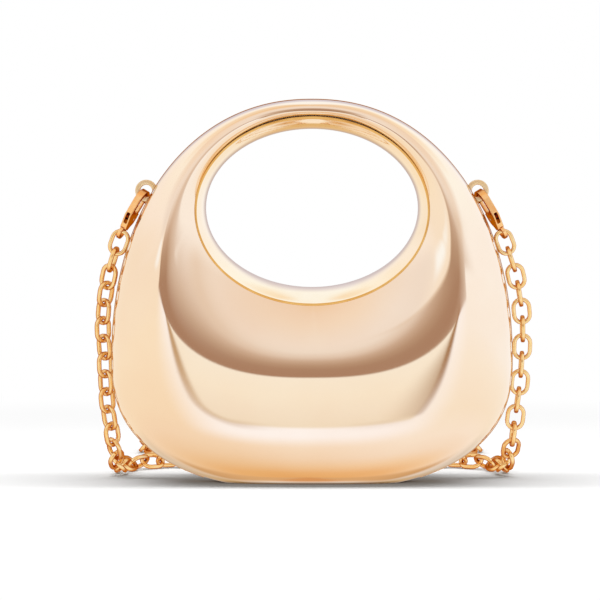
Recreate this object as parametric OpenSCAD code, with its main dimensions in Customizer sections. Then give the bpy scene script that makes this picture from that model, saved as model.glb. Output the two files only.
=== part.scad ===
// Hard clamshell bag with a hole handle and a chain strap.
// Millimetres, Z up. The origin is the middle of the base, on the parting plane, and the front faces -Y.

/* [Body] */
// Width across the belly
body_w = 200; // [190:1:210]
// Height from the base to the top of the handle
body_h = 191; // [188:1:196]
// Depth through the belly
body_d = 70; // [64:1:76]
// Height of the widest part above the base
belly_z = 60; // [56:1:64]
// How far the round of the belly would reach below the flat base
base_cut = 4; // [3:0.5:6]
// Depth through the top of the handle
handle_d = 36; // [32:1:40]
// Wall of each shell
wall = 2; // [1.6:0.1:2.4]

/* [Handle hole] */
// Width of the hole at its narrowest, on the parting plane
hole_w = 106; // [100:1:110]
// Height of the hole
hole_h = 79; // [74:1:82]
// Height of the handle's bar above the hole
handle_bar = 14.5; // [13:0.5:17]

/* [Collar] */
// How far the collar flares past the hole at the top
flare_top = 5; // [4:0.1:5.4]
// How far the collar flares past the hole at each side
flare_side = 3.9; // [3.4:0.1:4.6]
// How far the collar flares past the hole at the bottom
flare_bottom = 7.5; // [6:0.1:9]
// Depth from the parting plane to the collar's edge at the top
collar_top_d = 14.5; // [13:0.5:16]
// Depth from the parting plane to the collar's edge halfway down each side
collar_side_d = 25; // [22:0.5:26]
// Depth from the parting plane to the collar's edge at the bottom
collar_bottom_d = 24; // [21:0.5:26]
// Thickness of the collar
collar_t = 1.2; // [1:0.1:1.4]
// Height of the bead on the collar's edge
bead = 0.9; // [0.7:0.1:1.1]

/* [Ridge] */
// Width across the crest that runs round each face
ridge_w = 141; // [136:1:146]
// Drop of the crest's top below the top of the handle
ridge_drop = 6; // [5.5:0.1:6.5]
// How far below the hole's edge the crest's lowest point is
ridge_below = 41.5; // [38:0.5:44]
// How far below the middle of the hole the crest is widest
ridge_low = 21; // [17:1:24]

/* [Rim] */
// Thickness of each rim, front to back
rim_t = 1.2; // [1:0.1:1.6]
// How far the rim stands proud of the shell
rim_proud = 0.4; // [0.3:0.1:0.8]
// How far the rim reaches inwards past the shell's wall
rim_lip = 1; // [0.8:0.1:1.4]
// Gap between the two rims when the bag is closed
parting_gap = 0.2; // [0.2:0.05:0.4]

/* [Lining] */
// Thickness of the lining
lining_t = 0.8; // [0.6:0.1:1]
// How far below the middle of the hole the lining's upper edge is
lining_low = 19; // [14:1:26]

/* [Hinge] */
// Length of the hinge, as a share of the body's width
hinge_l_share = 0.28; // [0.25:0.01:0.3]
// Number of knuckles, odd
knuckles = 5; // [3:2:7]
// Outer radius of a knuckle
knuckle_r = 1.6; // [1.5:0.05:1.8]
// Radius of the hinge pin
hinge_pin_r = 0.8; // [0.7:0.05:0.9]
// Thickness of a leaf
leaf_t = 0.8; // [0.6:0.1:1]
// Width of a leaf from the axis to its edge, as a share of the body's depth
leaf_w_share = 0.14; // [0.13:0.005:0.15]
// Screws in each leaf
hinge_screws = 3; // [2:1:4]

/* [Magnets] */
// Radius of a magnet
magnet_r = 3; // [2.5:0.1:3.2]
// Thickness of a magnet
magnet_t = 1.8; // [1.5:0.1:2.2]
// Distance of a magnet's centre inside the outline
magnet_in = 6.8; // [6.4:0.1:7.2]

/* [Eyelets] */
// How far below the top of the handle an eyelet stands on the outline
eyelet_drop = 47; // [45:0.5:49]
// Distance of an eyelet's centre outside the outline
eyelet_out = 3.2; // [3:0.1:3.6]
// Outer radius of an eyelet
eyelet_r = 5.5; // [5.2:0.1:5.8]
// Radius of an eyelet's hole
eye_r = 3; // [2.8:0.1:3.2]
// Thickness of an eyelet
eyelet_t = 1.8; // [1.6:0.1:2]
// Width of the tongue that holds an eyelet in the frame
tongue_w = 7; // [6.5:0.1:7.5]
// Length of the tongue from the eyelet's centre
tongue_l = 12.4; // [12:0.1:13]
// Radius of the rivet through the tongue
rivet_r = 1; // [0.9:0.05:1.1]

/* [Clasps] */
// Length of a clasp
clasp_l = 28; // [27.6:0.1:28.4]
// Thickness of a clasp
clasp_t = 3.4; // [3:0.1:3.5]
// Outer radius of the hook
hook_r = 6.2; // [6:0.1:6.5]
// Width of the hook's bar
hook_bar = 2.3; // [2:0.1:2.5]
// Outer radius of the ring that the chain joins
clasp_ring_r = 3.6; // [3.5:0.1:3.7]
// Radius of that ring's hole
clasp_hole_r = 2.1; // [2.05:0.05:2.15]
// Thickness of that ring
clasp_ring_t = 1.8; // [1.6:0.1:2]
// Lean of the hanging clasp from the vertical, degrees
clasp_lean = 31; // [30:1:32]
// Turn of the clasp about its length, degrees
clasp_roll = 14; // [10:1:16]
// Thickness of a trigger
trigger_t = 1.5; // [1.3:0.1:1.7]
// Radius of a trigger's rivet
clasp_pin_r = 0.6; // [0.5:0.05:0.7]

/* [Chain] */
// Length of a link outside
link_l = 13.8; // [13.4:0.1:14]
// Width of a link outside
link_w = 10; // [9.6:0.1:10.4]
// Thickness of a link's wire
link_wire = 2.1; // [1.9:0.05:2.2]
// Distance from link to link
link_pitch = 9; // [8.8:0.1:9.2]
// Links in each hanging stretch
drop_links = 20; // [18:1:21]

/* [Hidden] */

// Steps round the body, across each face and round a curve
around = 72;
inner_steps = 5;
outer_steps = 9;
hidden_inner_steps = 3;
hidden_outer_steps = 7;
rim_around = 120;
round_fn = 48;

// Roundness of the ovals: 2 is an ellipse, more is squarer
upper_power = 2.17;
lower_power = 2.4;
side_power = 2.3;
ridge_upper_power = 2.2;
ridge_lower_power = 2.6;
depth_power = 2.7;
flare_power = 2.2;

// Clearances
fit = 0.05;
run_fit = 0.03;
seat = 0.3;
bead_seat = 0.2;
over = 1;

half_gap = parting_gap / 2;
rim_face = half_gap + rim_t;
hole_z = body_h - handle_bar - hole_h;
hole_mid = hole_z + hole_h / 2;
lining_top = hole_mid - lining_low;
eyelet_z = body_h - eyelet_drop;
hinge_l = hinge_l_share * body_w;
leaf_w = leaf_w_share * body_d;
crease_low = hole_z - flare_bottom;
crease_high = hole_z + hole_h + flare_top;
crease_mid = (crease_low + crease_high) / 2;
ridge_high = body_h - ridge_drop;
ridge_z = hole_z - ridge_below;
ridge_mid = hole_mid - ridge_low;

function mix(p, q, t) = p + (q - p) * t;
function curve_pow(v, p) = sign(v) * pow(abs(v), p);
function unit(v) = v / norm(v);

// An oval about [0, mid] as [x, z] at angle a
function oval(a, half_w, mid, up, down, up_power, down_power) =
    let (power = sin(a) >= 0 ? up_power : down_power)
    [half_w * curve_pow(cos(a), 2 / power),
     mid + (sin(a) >= 0 ? up : down) * curve_pow(sin(a), 2 / power)];
function outline(a) =
    oval(a, body_w / 2, belly_z, body_h - belly_z, belly_z + base_cut, upper_power, lower_power);
function ridge(a) =
    oval(a, ridge_w / 2, ridge_mid, ridge_high - ridge_mid, ridge_mid - ridge_z,
         ridge_upper_power, ridge_lower_power);
function hole_edge(a) = oval(a, hole_w / 2, hole_mid, hole_h / 2, hole_h / 2, 2, 2);
function crease(a, grow = 0) =
    oval(a, hole_w / 2 + flare_side + grow, crease_mid,
         crease_high - crease_mid + grow, crease_mid - crease_low + grow, 2, 2);

// Depth of the face from the parting plane along the collar's edge and along the crest
function crease_depth(z) =
    let (s = (crease_high - z) / (crease_high - crease_low))
    collar_top_d * (1 - s) * (1 - 2 * s) + collar_side_d * 4 * s * (1 - s) + collar_bottom_d * s * (2 * s - 1);
function ridge_depth(z) =
    mix(body_d, handle_d, pow(max(0, z - ridge_z) / (ridge_high - ridge_z), depth_power)) / 2;

// Outlines on the parting plane, as [x, z]
function outline_normal(a) =
    let (da = 0.5, along = outline(a + da) - outline(a - da)) unit([along[1], -along[0]]);
function outline_point(a, out) = outline(a) + out * outline_normal(a);
function rim_line(out) = [for (i = [0:rim_around - 1])
    let (p = outline_point(i * 360 / rim_around, out)) [p[0], max(p[1], max(0, -out))]];

// The front face moved inwards by depth, cut flat at the base and at the rim.
// t runs from -1 at the collar's edge over 0 on the crest to 1 at the outline.
function face_point(a, t, depth = 0) =
    let (crest = ridge(a), crest_d = ridge_depth(crest[1]) - depth)
    t < 0
    ? let (edge = crease(a, bead + bead_seat), edge_d = crease_depth(edge[1]) - depth,
           p = mix(edge, crest, 1 + t))
      [p[0], -mix(edge_d, crest_d, 1 - t * t), max(p[1], depth)]
    : let (p = mix(crest, outline_point(a, -depth), pow(sin(90 * t), 2 / side_power)))
      [p[0], -rim_face - (crest_d - rim_face) * pow(cos(90 * t), 2 / side_power), max(p[1], depth)];
function face_curve(t, depth) = [for (i = [0:around - 1]) face_point(i * 360 / around, t, depth)];

// Steps across the face, from the collar to the outline
function face_steps(inner, outer) = concat(
    [for (i = [0:inner - 1]) i / inner - 1],
    [for (i = [0:outer]) i / outer]
);
function reversed(list) = [for (i = [len(list) - 1:-1:0]) list[i]];

// A closed band from closed curves of the same count, each joined to the next and the last to the first
module band(curves) {
    rows = len(curves);
    count = len(curves[0]);
    points = [for (curve = curves) for (p = curve) p];
    faces = [for (r = [0:rows - 1]) for (i = [0:count - 1])
        let (s = (r + 1) % rows, j = (i + 1) % count)
        each [[r * count + i, r * count + j, s * count + j], [r * count + i, s * count + j, s * count + i]]];
    polyhedron(points = points, faces = faces, convexity = 6);
}

// The angle at which the outline reaches height z
function outline_angle(z) = asin(pow((z - belly_z) / (body_h - belly_z), upper_power / 2));

magnet_angles = [66, 114];
magnet_seat_wall = 1.6;
function magnet_place(a) = outline_point(a, -magnet_in);

// Puts an XZ drawing on the front or the back of the parting plane, from depth y0 to y1
module slab(y0, y1) {
    translate([0, y1, 0]) rotate([90, 0, 0]) linear_extrude(y1 - y0) children();
}
module back() {
    mirror([0, 1, 0]) children();
}

// Hinge
hinge_z = knuckle_r + seat;
slot_room = 0.7;
slot_y = knuckle_r + slot_room;
slot_x_share = 0.27;
slot_x = slot_x_share * body_w;
knuckle_l = hinge_l / knuckles;
screw_r = 1;
screw_head_r = 1.8;
screw_l = 2.3;
screw_y = leaf_w * 2 / 3;
screw_spacing_share = 0.36;
function screw_x(i) = (i - (hinge_screws - 1) / 2) * hinge_l * screw_spacing_share;

module hinge_slot() {
    translate([-slot_x, -slot_y, -over]) cube([2 * slot_x, 2 * slot_y, hinge_z + knuckle_r + seat + over]);
}
module screw_holes(r) {
    for (i = [0:hinge_screws - 1])
        translate([screw_x(i), -screw_y, wall + leaf_t - screw_l - fit])
            cylinder(h = screw_l + over, r = r, $fn = round_fn);
}

module front_shell_half() {
    difference() {
        band(concat(
            [for (t = face_steps(inner_steps, outer_steps)) face_curve(t, 0)],
            [for (t = reversed(face_steps(hidden_inner_steps, hidden_outer_steps))) face_curve(t, wall)]
        ));
        hinge_slot();
        screw_holes(screw_r + fit);
    }
}

module front_shell() {
    color("BurlyWood") front_shell_half();
}
module back_shell() {
    color("BurlyWood") difference() {
        back() front_shell_half();
        for (side = [-1, 1]) eyelet_notch(side);
    }
}

module rim_blank() {
    difference() {
        slab(-rim_face, -half_gap) {
            difference() {
                polygon(rim_line(rim_proud));
                polygon(rim_line(-wall - rim_lip));
            }
            for (a = magnet_angles)
                translate(magnet_place(a)) circle(r = magnet_r + magnet_seat_wall, $fn = round_fn);
        }
        for (a = magnet_angles)
            let (p = magnet_place(a))
            translate([p[0], over, p[1]]) rotate([90, 0, 0])
                cylinder(h = rim_face + 2 * over, r = magnet_r + fit, $fn = round_fn);
        hinge_slot();
    }
}
module front_rim() {
    color("DarkGoldenrod") rim_blank();
}
module back_rim() {
    color("DarkGoldenrod") difference() {
        union() {
            back() rim_blank();
            for (side = [-1, 1]) eyelet_pad(side);
        }
        for (side = [-1, 1]) eyelet_pad_bore(side);
    }
}

// Collar: each row is a share of the way from the parting plane to the edge,
// then offsets outwards and forwards
collar_rows = [
    [0, 0, 0], [0.3, 0, 0], [0.55, 0, 0], [0.8, 0, 0], [0.93, 0, 0],
    [1, -bead / 4, bead / 5], [1, bead / 3, bead / 2], [1, bead, 0],
    [0.85, collar_t, 0], [0.45, collar_t, 0], [0, collar_t, 0]
];
function collar_point(a, row) =
    let (low = hole_edge(a), high = crease(a), depth = crease_depth(high[1]),
         p = mix(low, high, pow(row[0], flare_power)) + row[1] * unit(high - low))
    [p[0], -half_gap - (depth - half_gap) * row[0] - row[2], p[1]];
module collar() {
    band([for (row = collar_rows) [for (i = [0:around - 1]) collar_point(i * 360 / around, row)]]);
}
module front_collar() {
    color("Gold") collar();
}
module back_collar() {
    color("Gold") back() collar();
}

lining_steps = face_steps(hidden_inner_steps, hidden_outer_steps);
module lining() {
    difference() {
        band(concat(
            [for (t = lining_steps) face_curve(t, wall + seat)],
            [for (t = reversed(lining_steps)) face_curve(t, wall + seat + lining_t)]
        ));
        translate([-body_w, -body_d, lining_top]) cube([2 * body_w, 2 * body_d, body_h]);
        translate([-hinge_l / 2 - over, -leaf_w - over, 0])
            cube([hinge_l + 2 * over, 2 * (leaf_w + over), hinge_z + 3 * knuckle_r]);
        hinge_slot();
    }
}
module front_lining() {
    color("Linen") lining();
}
module back_lining() {
    color("Linen") back() lining();
}

// A hinge leaf on the front, with the knuckles whose number is even or odd
module leaf(first) {
    difference() {
        union() {
            translate([-hinge_l / 2, -leaf_w, wall]) cube([hinge_l, leaf_w - slot_y, leaf_t]);
            for (k = [first:2:knuckles - 1])
                translate([-hinge_l / 2 + k * knuckle_l + fit, 0, 0]) {
                    translate([0, -slot_y - fit, wall])
                        cube([knuckle_l - 2 * fit, slot_y - hinge_pin_r, leaf_t]);
                    translate([0, 0, hinge_z]) rotate([0, 90, 0])
                        cylinder(h = knuckle_l - 2 * fit, r = knuckle_r, $fn = round_fn);
                }
        }
        translate([-hinge_l / 2 - over, 0, hinge_z]) rotate([0, 90, 0])
            cylinder(h = hinge_l + 2 * over, r = hinge_pin_r + run_fit, $fn = round_fn);
        for (i = [0:hinge_screws - 1]) translate([screw_x(i), -screw_y, wall]) screw_shape(fit);
    }
}
module screw_shape(grow) {
    translate([0, 0, leaf_t - screw_l]) cylinder(h = screw_l, r = screw_r + grow, $fn = round_fn);
    translate([0, 0, leaf_t / 4])
        cylinder(h = 3 * leaf_t / 4 + grow, r1 = screw_r + grow, r2 = screw_head_r + grow, $fn = round_fn);
}
module front_hinge_leaf() {
    color("DarkGoldenrod") leaf(1);
}
module back_hinge_leaf() {
    color("DarkGoldenrod") back() leaf(0);
}
module hinge_pin() {
    color("Goldenrod") translate([-hinge_l / 2, 0, hinge_z]) rotate([0, 90, 0])
        cylinder(h = hinge_l, r = hinge_pin_r, $fn = round_fn);
}
module hinge_screw_row() {
    for (i = [0:hinge_screws - 1]) translate([screw_x(i), -screw_y, wall]) screw_shape(0);
}
module front_hinge_screws() {
    color("Silver") hinge_screw_row();
}
module back_hinge_screws() {
    color("Silver") back() hinge_screw_row();
}

module magnet_pair() {
    for (a = magnet_angles)
        let (p = magnet_place(a))
        translate([p[0], -half_gap - fit, p[1]]) rotate([90, 0, 0])
            cylinder(h = magnet_t, r = magnet_r, $fn = round_fn);
}
module front_magnets() {
    color("Silver") magnet_pair();
}
module back_magnets() {
    color("Silver") back() magnet_pair();
}

// Eyelets, riveted to the back rim: side is -1 on the left and 1 on the right
eyelet_angle = outline_angle(eyelet_z);
eyelet_place = outline_point(eyelet_angle, eyelet_out);
eyelet_turn = atan2(outline_normal(eyelet_angle)[1], outline_normal(eyelet_angle)[0]);
eyelet_y = rim_face + eyelet_t / 2;
rivet_in = tongue_l - tongue_w / 2;
rivet_head_r = 1.7;
rivet_head_t = 0.5;

module at_eyelet(side) {
    if (side < 0) mirror([1, 0, 0]) at_eyelet(1) children();
    else translate([eyelet_place[0], 0, eyelet_place[1]]) rotate([0, -eyelet_turn, 0]) children();
}
module eyelet_shape(grow) {
    circle(r = eyelet_r + grow, $fn = round_fn);
    translate([-rivet_in, -tongue_w / 2 - grow]) square([rivet_in, tongue_w + 2 * grow]);
    translate([-rivet_in, 0]) circle(r = tongue_w / 2 + grow, $fn = round_fn);
}
module eyelet(side) {
    at_eyelet(side) difference() {
        slab(rim_face, rim_face + eyelet_t) eyelet_shape(0);
        slab(0, rim_face + eyelet_t + over) {
            circle(r = eye_r, $fn = round_fn);
            translate([-rivet_in, 0]) circle(r = rivet_r + fit, $fn = round_fn);
        }
    }
}
module eyelet_notch(side) {
    at_eyelet(side) slab(0, rim_face + eyelet_t + fit) eyelet_shape(2 * fit);
}
module eyelet_pad(side) {
    at_eyelet(side) slab(half_gap, rim_face) translate([-rivet_in, -tongue_w / 2]) {
        square([rivet_in - eyelet_out - rim_proud, tongue_w]);
        translate([0, tongue_w / 2]) circle(r = tongue_w / 2, $fn = round_fn);
    }
}
module eyelet_pad_bore(side) {
    at_eyelet(side) translate([-rivet_in, 0]) {
        slab(0, rim_face + over) circle(r = rivet_r + fit, $fn = round_fn);
        slab(0, half_gap + rivet_head_t + fit) circle(r = rivet_head_r + fit, $fn = round_fn);
    }
}
module left_eyelet() {
    color("Goldenrod") eyelet(-1);
}
module right_eyelet() {
    color("Goldenrod") eyelet(1);
}
module eyelet_rivets() {
    color("DarkGoldenrod") for (side = [-1, 1]) at_eyelet(side) {
        slab(half_gap, half_gap + rivet_head_t)
            translate([-rivet_in, 0]) circle(r = rivet_head_r, $fn = round_fn);
        slab(half_gap, rim_face + eyelet_t + rivet_head_t)
            translate([-rivet_in, 0]) circle(r = rivet_r, $fn = round_fn);
        slab(rim_face + eyelet_t, rim_face + eyelet_t + rivet_head_t)
            translate([-rivet_in, 0]) circle(r = rivet_head_r, $fn = round_fn);
    }
}

// Clasps. In their own frame X runs from the hook's top to the chain and Y from the spine to the trigger.
hook_in = hook_r - hook_bar;
pivot_x = 0.57 * clasp_l;
pivot_y = 0.2 * hook_r;
trigger_r = pivot_x - 0.87 * hook_r;
trigger_hub = 0.3 * hook_r;
ring_x = clasp_l - clasp_ring_r;
hook_seat = -0.3;
window_x = 0.5 * clasp_l;
window_l = 0.2 * clasp_l;
// Outlines as shares of the clasp's length and of the hook's outer radius
body_shares = [
    [0.225, -1], [0.55, -0.96], [0.72, -0.5], [0.8, -0.3], [0.8, 0.3], [0.73, 0.42],
    [0.64, 0.7], [0.5, 0.75], [0.46, 0.2], [0.42, -0.62], [0.225, -0.62]
];
trigger_shares = [
    [0.2, 0.98], [0.44, 0.98], [0.45, 1.2], [0.51, 1.2], [0.53, 0.95], [0.64, 0.36],
    [0.57, -0.1], [0.5, 0.2], [0.42, 0.62], [0.2, 0.7]
];
spring_shares = [
    [0.41, -0.6], [0.5, -0.6], [0.465, 0.02], [0.447, 0.02], [0.482, -0.55], [0.41, -0.55]
];
function clasp_outline(shares) = [for (p = shares) [p[0] * clasp_l, p[1] * hook_r]];

module clasp_slab(thickness) {
    translate([0, 0, -thickness / 2]) linear_extrude(thickness) children();
}
module clasp_body() {
    difference() {
        union() {
            clasp_slab(clasp_t) difference() {
                union() {
                    difference() {
                        translate([hook_r, 0]) circle(r = hook_r, $fn = round_fn);
                        translate([hook_r, 0]) circle(r = hook_in, $fn = round_fn);
                        translate([hook_r, -hook_in]) square([hook_r + over, 2 * hook_r]);
                    }
                    translate([hook_r - fit, hook_in]) square([hook_bar / 2, hook_bar]);
                    polygon(clasp_outline(body_shares));
                }
                intersection() {
                    translate([pivot_x, pivot_y]) circle(r = trigger_r + 2 * fit, $fn = round_fn);
                    translate([0, hook_in - over]) square([window_x - hook_bar, hook_r]);
                }
            }
            clasp_slab(clasp_ring_t) translate([ring_x, 0]) circle(r = clasp_ring_r, $fn = round_fn);
        }
        translate([0, 0, -clasp_t]) {
            translate([ring_x, 0]) cylinder(h = 2 * clasp_t, r = clasp_hole_r, $fn = round_fn);
            translate([pivot_x, pivot_y]) cylinder(h = 2 * clasp_t, r = clasp_pin_r + fit, $fn = round_fn);
        }
        clasp_slab(trigger_t + 4 * fit) {
            translate([window_x - hook_bar, -hook_in]) square([window_l + hook_bar, 3 * hook_r]);
            translate([window_x, -2 * hook_r]) square([window_l, 2 * hook_r]);
        }
    }
}
module trigger() {
    difference() {
        union() {
            intersection() {
                clasp_slab(trigger_t) polygon(clasp_outline(trigger_shares));
                translate([pivot_x, pivot_y, -clasp_t])
                    cylinder(h = 2 * clasp_t, r = trigger_r, $fn = round_fn);
            }
            clasp_slab(trigger_t) translate([pivot_x, pivot_y]) circle(r = trigger_hub, $fn = round_fn);
        }
        translate([pivot_x, pivot_y, -clasp_t])
            cylinder(h = 2 * clasp_t, r = clasp_pin_r + run_fit, $fn = round_fn);
    }
}
module at_clasp(side) {
    if (side < 0) mirror([1, 0, 0]) at_clasp(1) children();
    else translate([eyelet_place[0], eyelet_y, eyelet_place[1]])
        rotate([0, 90 - clasp_lean, 0]) rotate([-clasp_roll, 0, 0]) translate([hook_seat, 0, 0]) children();
}
module clasp_rivet() {
    translate([pivot_x, pivot_y, -clasp_t / 2]) cylinder(h = clasp_t, r = clasp_pin_r, $fn = round_fn);
}
module clasp_spring() {
    clasp_slab(trigger_t - 4 * fit) polygon(clasp_outline(spring_shares));
}
module left_clasp() {
    color("Peru") at_clasp(-1) clasp_body();
}
module right_clasp() {
    color("Peru") at_clasp(1) clasp_body();
}
module left_trigger() {
    color("SaddleBrown") at_clasp(-1) trigger();
}
module right_trigger() {
    color("SaddleBrown") at_clasp(1) trigger();
}
module left_trigger_rivet() {
    color("Goldenrod") at_clasp(-1) clasp_rivet();
}
module right_trigger_rivet() {
    color("Goldenrod") at_clasp(1) clasp_rivet();
}
module left_trigger_spring() {
    color("Silver") at_clasp(-1) clasp_spring();
}
module right_trigger_spring() {
    color("Silver") at_clasp(1) clasp_spring();
}

// Route of the chain, from the left clasp down to the floor, round in a loose loop behind the bag
// and up to the right clasp. The half of the loop is mirrored for the left.
lie_z = 4.1;
function clasp_ring() =
    [eyelet_place[0] + (hook_seat + ring_x) * sin(clasp_lean), eyelet_y,
     eyelet_place[1] - (hook_seat + ring_x) * cos(clasp_lean)];
// Points of the stretches that hang, each out from the ring, back from the parting plane
// and as a share of the ring's height
left_hang_shares = [
    [1.3, 2.4, 0.958], [4.4, 2.8, 0.888], [6.9, 4.2, 0.812], [8.5, 6, 0.74], [9.6, 7, 0.668],
    [9.8, 7.6, 0.598], [9.1, 8.2, 0.525], [8.8, 8.8, 0.453], [8.6, 9.6, 0.381], [7.9, 10.6, 0.309],
    [6.8, 12, 0.237], [5.5, 15, 0.164], [4.8, 20.5, 0.101], [4.1, 28, 0.056], [3.1, 36.5, 0.036]
];
right_hang_shares = [
    [1.3, 2.4, 0.959], [4.6, 2.8, 0.889], [7.3, 4.2, 0.812], [9.1, 6, 0.74], [10.3, 7, 0.668],
    [10.7, 7.6, 0.598], [10.5, 8.2, 0.525], [10.1, 8.8, 0.453], [9.4, 9.6, 0.381], [8.3, 10.6, 0.309],
    [7.3, 12, 0.237], [6.3, 15, 0.164], [5.5, 20.5, 0.101], [4.3, 28, 0.056], [3.1, 36.5, 0.036]
];
function hang(shares, side) =
    let (ring = clasp_ring()) [for (p = shares) [side * (ring[0] + p[0]), p[1], ring[2] * p[2]]];
half_loop = [
    [96.8, 46], [93, 55], [86.5, 62.5], [77, 67.2], [66, 69], [53, 69], [40, 69],
    [25, 73], [14, 84], [10, 99], [14, 114], [25, 125], [40, 129], [51, 129],
    [62, 129], [77, 133], [88, 144], [92, 159], [88, 174], [77, 185],
    [62, 189], [47, 189], [31, 189], [15.5, 189]
];
chain_route = concat(
    hang(left_hang_shares, -1),
    [for (p = half_loop) [-p[0], p[1], lie_z]],
    [for (p = reversed(half_loop)) [p[0], p[1], lie_z]],
    reversed(hang(right_hang_shares, 1))
);
route_last = len(chain_route) - 1;
route_samples = 6;
function route_at(i) = chain_route[max(0, min(route_last, i))];
function route_curve(i, t) =
    let (p0 = route_at(i - 1), p1 = route_at(i), p2 = route_at(i + 1), p3 = route_at(i + 2))
    (2 * p1 + (p2 - p0) * t + (2 * p0 - 5 * p1 + 4 * p2 - p3) * t * t
     + (3 * p1 - p0 - 3 * p2 + p3) * t * t * t) / 2;
route_line = concat(
    [for (i = [0:route_last - 1]) for (k = [0:route_samples - 1]) route_curve(i, k / route_samples)],
    [chain_route[route_last]]
);
// Length of the route up to each of its points
route_lengths = [for (i = 0, sum = 0; i < len(route_line);
    sum = sum + (i + 1 < len(route_line) ? norm(route_line[i + 1] - route_line[i]) : 0), i = i + 1) sum];
chain_l = route_lengths[len(route_lengths) - 1];
axis_tables = [for (k = [0:2]) [for (i = [0:len(route_line) - 1]) [route_lengths[i], route_line[i][k]]]];
function on_route(s) = [for (table = axis_tables) lookup(s, table)];

// An odd count, so that the first and the last link face the front
link_count = 2 * round(chain_l / link_pitch / 2) + 1;
link_step = chain_l / (link_count - 1);
middle_link = (link_count - 1) / 2;
link_axis = (link_w - link_wire) / 2;
link_straight = link_l - link_w;
lie_turn = 45;
left_twist_links = 3;
right_flat_links = 15;
right_twist_links = 5;
function ease(t) = let (u = max(0, min(1, t))) u * u * (3 - 2 * u);
function link_turn(i) =
    90 * i + lie_turn * ease(i / left_twist_links)
    * ease((link_count - 1 - right_flat_links - i) / right_twist_links + 1);

module wire_section() {
    rotate([0, 0, 22.5]) circle(r = link_wire / 2 / cos(22.5), $fn = 8);
}
module link() {
    for (end = [-1, 1]) translate([end * link_straight / 2, 0, 0]) rotate([0, 0, -90 * end])
        rotate_extrude(angle = 180, $fn = round_fn) translate([link_axis, 0]) wire_section();
    for (side = [-1, 1]) translate([-link_straight / 2, side * link_axis, 0]) rotate([90, 0, 90])
        linear_extrude(link_straight) wire_section();
}
module place_link(i) {
    s = i * link_step;
    p = on_route(s);
    ahead = unit(on_route(min(chain_l, s + link_step / 2)) - on_route(max(0, s - link_step / 2)));
    lift = [0, abs(ahead[2]), 1 - abs(ahead[2])];
    face = unit(lift - (lift * ahead) * ahead);
    beside = cross(face, ahead);
    multmatrix([
        [ahead[0], beside[0], face[0], p[0]],
        [ahead[1], beside[1], face[1], p[1]],
        [ahead[2], beside[2], face[2], p[2]],
        [0, 0, 0, 1]
    ]) rotate([link_turn(i), 0, 0]) link();
}
module links(first, last) {
    for (i = [first:last]) place_link(i);
}
module left_chain() {
    color("SandyBrown") links(0, drop_links - 1);
}
module left_chain_slack() {
    color("SandyBrown") links(drop_links, middle_link);
}
module right_chain_slack() {
    color("SandyBrown") links(middle_link + 1, link_count - 1 - drop_links);
}
module right_chain() {
    color("SandyBrown") links(link_count - drop_links, link_count - 1);
}

back_shell();
front_shell();
back_rim();
front_rim();
back_collar();
front_collar();
back_lining();
front_lining();
back_hinge_leaf();
front_hinge_leaf();
hinge_pin();
back_hinge_screws();
front_hinge_screws();
back_magnets();
front_magnets();
left_eyelet();
right_eyelet();
eyelet_rivets();
left_clasp();
left_trigger();
left_trigger_rivet();
left_trigger_spring();
right_clasp();
right_trigger();
right_trigger_rivet();
right_trigger_spring();
left_chain();
left_chain_slack();
right_chain_slack();
right_chain();
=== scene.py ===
"""Hard clamshell bag with a hole handle and a chain strap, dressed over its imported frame.

Metres, Z up. The origin is the middle of the base on the parting plane, and the front faces -Y.
"""

import sys

import logging
import math
from bisect import bisect_left
from dataclasses import dataclass
from enum import Enum
from typing import Callable, Iterable, Optional, Sequence, TypeVar

import bmesh
import bpy
from bmesh import ops
from mathutils import Matrix, Vector


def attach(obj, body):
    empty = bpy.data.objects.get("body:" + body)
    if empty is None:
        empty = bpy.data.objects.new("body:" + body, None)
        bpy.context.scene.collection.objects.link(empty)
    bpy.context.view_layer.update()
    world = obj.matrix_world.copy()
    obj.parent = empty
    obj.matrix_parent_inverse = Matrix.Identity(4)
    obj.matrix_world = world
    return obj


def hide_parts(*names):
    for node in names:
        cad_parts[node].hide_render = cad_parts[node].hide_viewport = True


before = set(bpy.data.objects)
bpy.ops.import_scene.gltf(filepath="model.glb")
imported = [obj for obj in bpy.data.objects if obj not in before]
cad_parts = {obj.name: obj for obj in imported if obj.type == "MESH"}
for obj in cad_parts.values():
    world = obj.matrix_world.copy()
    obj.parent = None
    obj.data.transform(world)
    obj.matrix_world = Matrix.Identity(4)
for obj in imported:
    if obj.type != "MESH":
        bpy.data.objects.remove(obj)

LOG = logging.getLogger("bag")
MM = 0.001
MERGE = 1e-6
Colour = tuple[float, float, float]
Screen = tuple[int, int, int]
BMesh = bmesh.types.BMesh
Material = bpy.types.Material
Node = bpy.types.Node
Piece = bpy.types.Object
Socket = bpy.types.NodeSocket
Value = float | Socket
Tone = Colour | Socket
Mixed = TypeVar("Mixed", float, Vector)


class Side(Enum):
    """The left or the right of the bag, as seen from its front."""

    LEFT = -1
    RIGHT = 1


class Half(Enum):
    """The two halves of the clamshell, with the sense of Y that each is on."""

    FRONT = -1
    BACK = 1

    @property
    def body(self) -> str:
        """Name of the CAD body that the half moves with."""
        return "front_half" if self is Half.FRONT else "back_half"

    @property
    def word(self) -> str:
        """The half's name in the names of pieces and nodes."""
        return self.name.lower()


def linear(red: int, green: int, blue: int) -> Colour:
    """Turns a colour as it is seen on a screen into a linear one.

    Args:
        red: Red, 0 to 255.
        green: Green, 0 to 255.
        blue: Blue, 0 to 255.

    Returns:
        The linear colour, 0 to 1.
    """
    shares = [c / 255 for c in (red, green, blue)]
    r, g, b = (c / 12.92 if c <= 0.04045 else ((c + 0.055) / 1.055) ** 2.4 for c in shares)
    return r, g, b


def mix(p: Mixed, q: Mixed, t: float) -> Mixed:
    """Returns the value or vector a share t of the way from p to q."""
    return p + (q - p) * t


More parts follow.
